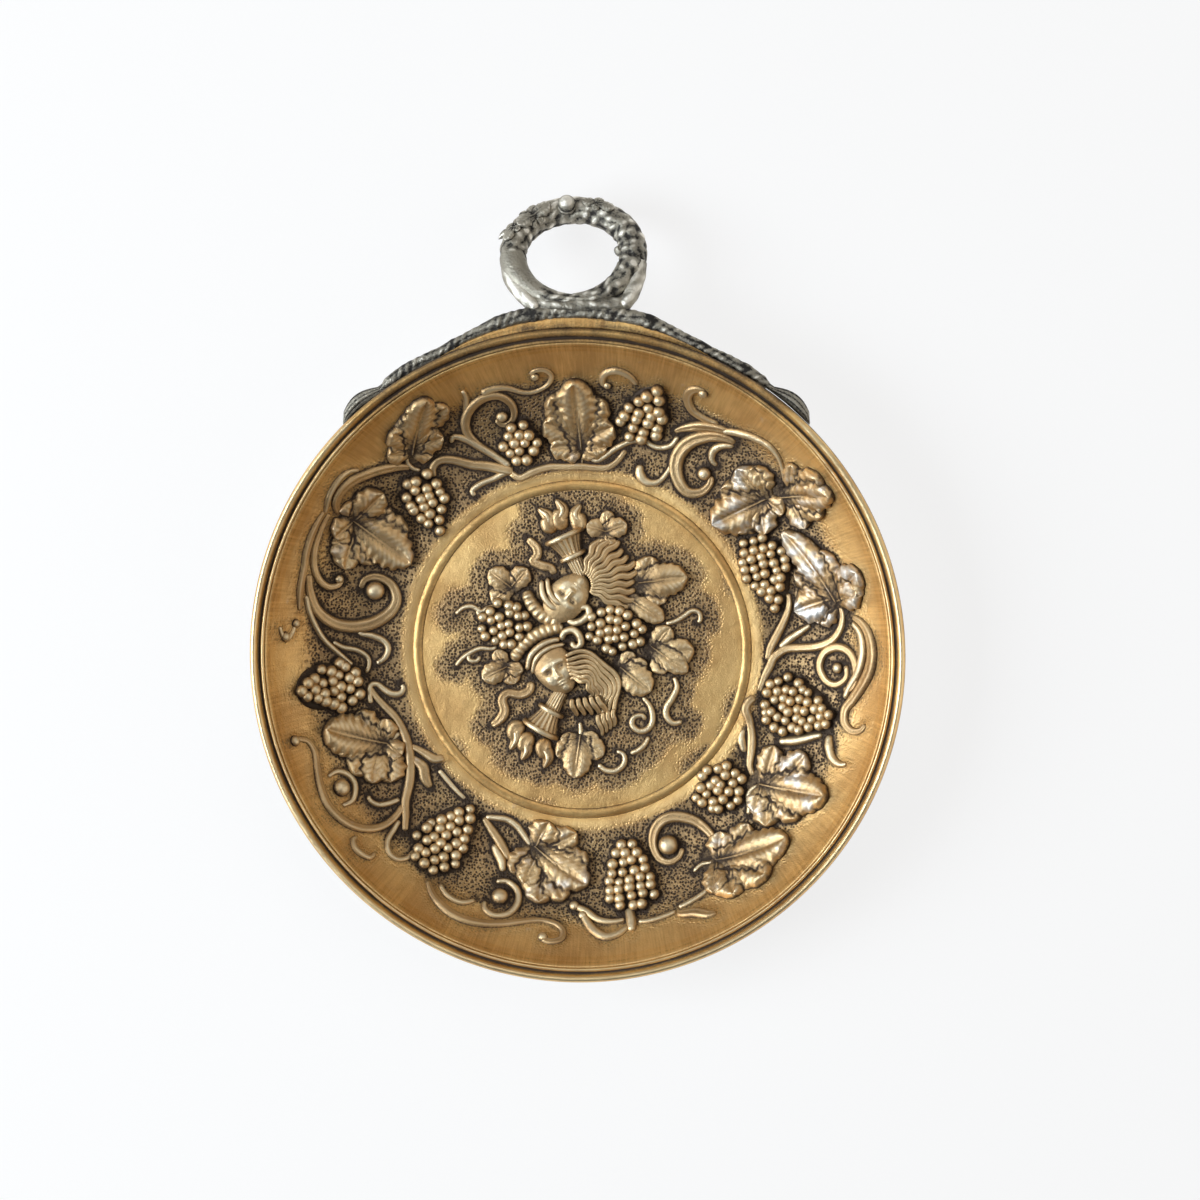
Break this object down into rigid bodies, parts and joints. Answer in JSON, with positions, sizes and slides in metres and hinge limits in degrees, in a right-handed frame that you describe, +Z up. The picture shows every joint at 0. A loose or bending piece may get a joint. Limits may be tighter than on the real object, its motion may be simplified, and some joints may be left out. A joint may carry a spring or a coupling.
{
  "type": "tastevin",
  "caption": "Shallow parcel-gilt wine taster with a grapevine frieze, a medallion of bearded heads and torches, and a vine-branch finger ring.",
  "frame": {"origin": "centre of the flat resting face, on the bowl's axis", "axes": "+Y towards the finger ring, +Z up out of the bowl, +X to the right with the ring at the top"},
  "size_m": [0.11, 0.1329, 0.0167],
  "materials": {
    "gilt": "satin gilding, dark in its hollows",
    "bright_gilt": "polished gilding",
    "relief_gilt": "worn gilding with dark patina",
    "dark_silver": "oxidised silver"
  },
  "bodies": {
    "root": {"bowl": "gilt", "rim_wire": "bright_gilt", "floor_bead": "bright_gilt", "thumb_plate": "gilt", "vine_branch": "dark_silver", "branch_tip_left": "dark_silver", "branch_tip_right": "dark_silver", "finger_ring": "dark_silver", "ring_berry": "dark_silver", "ring_bud": "dark_silver", "ring_leaf": "dark_silver", "vine_leaf_1": "relief_gilt", "vine_leaf_2": "relief_gilt", "vine_leaf_3": "relief_gilt", "vine_leaf_4": "relief_gilt", "vine_leaf_5": "relief_gilt", "vine_leaf_6": "relief_gilt", "vine_leaf_7": "relief_gilt", "vine_leaf_8": "relief_gilt", "vine_leaf_9": "relief_gilt", "vine_leaf_10": "relief_gilt", "grape_bunch_1": "relief_gilt", "grape_bunch_2": "relief_gilt", "grape_bunch_3": "relief_gilt", "grape_bunch_4": "relief_gilt", "grape_bunch_5": "relief_gilt", "grape_bunch_6": "relief_gilt", "grape_bunch_7": "relief_gilt", "grape_bunch_8": "relief_gilt", "grape_bunch_9": "relief_gilt", "vine_stem_1": "relief_gilt", "vine_stem_2": "relief_gilt", "vine_stem_3": "relief_gilt", "vine_stem_4": "relief_gilt", "vine_stem_5": "relief_gilt", "vine_stem_6": "relief_gilt", "vine_stem_7": "relief_gilt", "vine_stem_8": "relief_gilt", "vine_stem_9": "relief_gilt", "vine_stem_10": "relief_gilt", "head_upper": "relief_gilt", "head_lower": "relief_gilt", "torch_upper": "relief_gilt", "torch_lower": "relief_gilt", "medal_leaf_1": "relief_gilt", "medal_leaf_2": "relief_gilt", "medal_leaf_3": "relief_gilt", "medal_leaf_4": "relief_gilt", "medal_leaf_5": "relief_gilt", "medal_leaf_6": "relief_gilt", "medal_leaf_7": "relief_gilt", "medal_leaf_8": "relief_gilt", "medal_bunch_left": "relief_gilt", "medal_bunch_right": "relief_gilt", "medal_ribbons": "relief_gilt", "medal_tendrils": "relief_gilt"}
  },
  "joints": []
}
